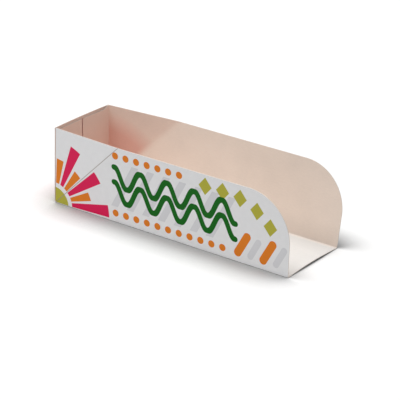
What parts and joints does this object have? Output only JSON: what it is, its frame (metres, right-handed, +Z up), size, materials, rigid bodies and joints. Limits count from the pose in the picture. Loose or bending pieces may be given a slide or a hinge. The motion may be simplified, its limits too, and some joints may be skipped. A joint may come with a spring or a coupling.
{
  "type": "hot dog box",
  "caption": "Open takeaway tray for a hot dog, folded and glued from one sheet of coated paperboard, with a closed end, an open end with rounded wall corners and scored sides.",
  "frame": {"origin": "on the table, under the middle of the tray's outline seen from above", "axes": "+X runs along the tray to its open end, -X to the closed end, -Y to the front wall and +Y to the back wall that leans out further, +Z up"},
  "size_m": [0.1772, 0.0638, 0.0502],
  "materials": {
    "coated_board": "white clay coated paperboard with a print on the outside, semi matt, and a plain warm white inside"
  },
  "bodies": {
    "root": {"folded_tray": "coated_board"}
  },
  "joints": []
}
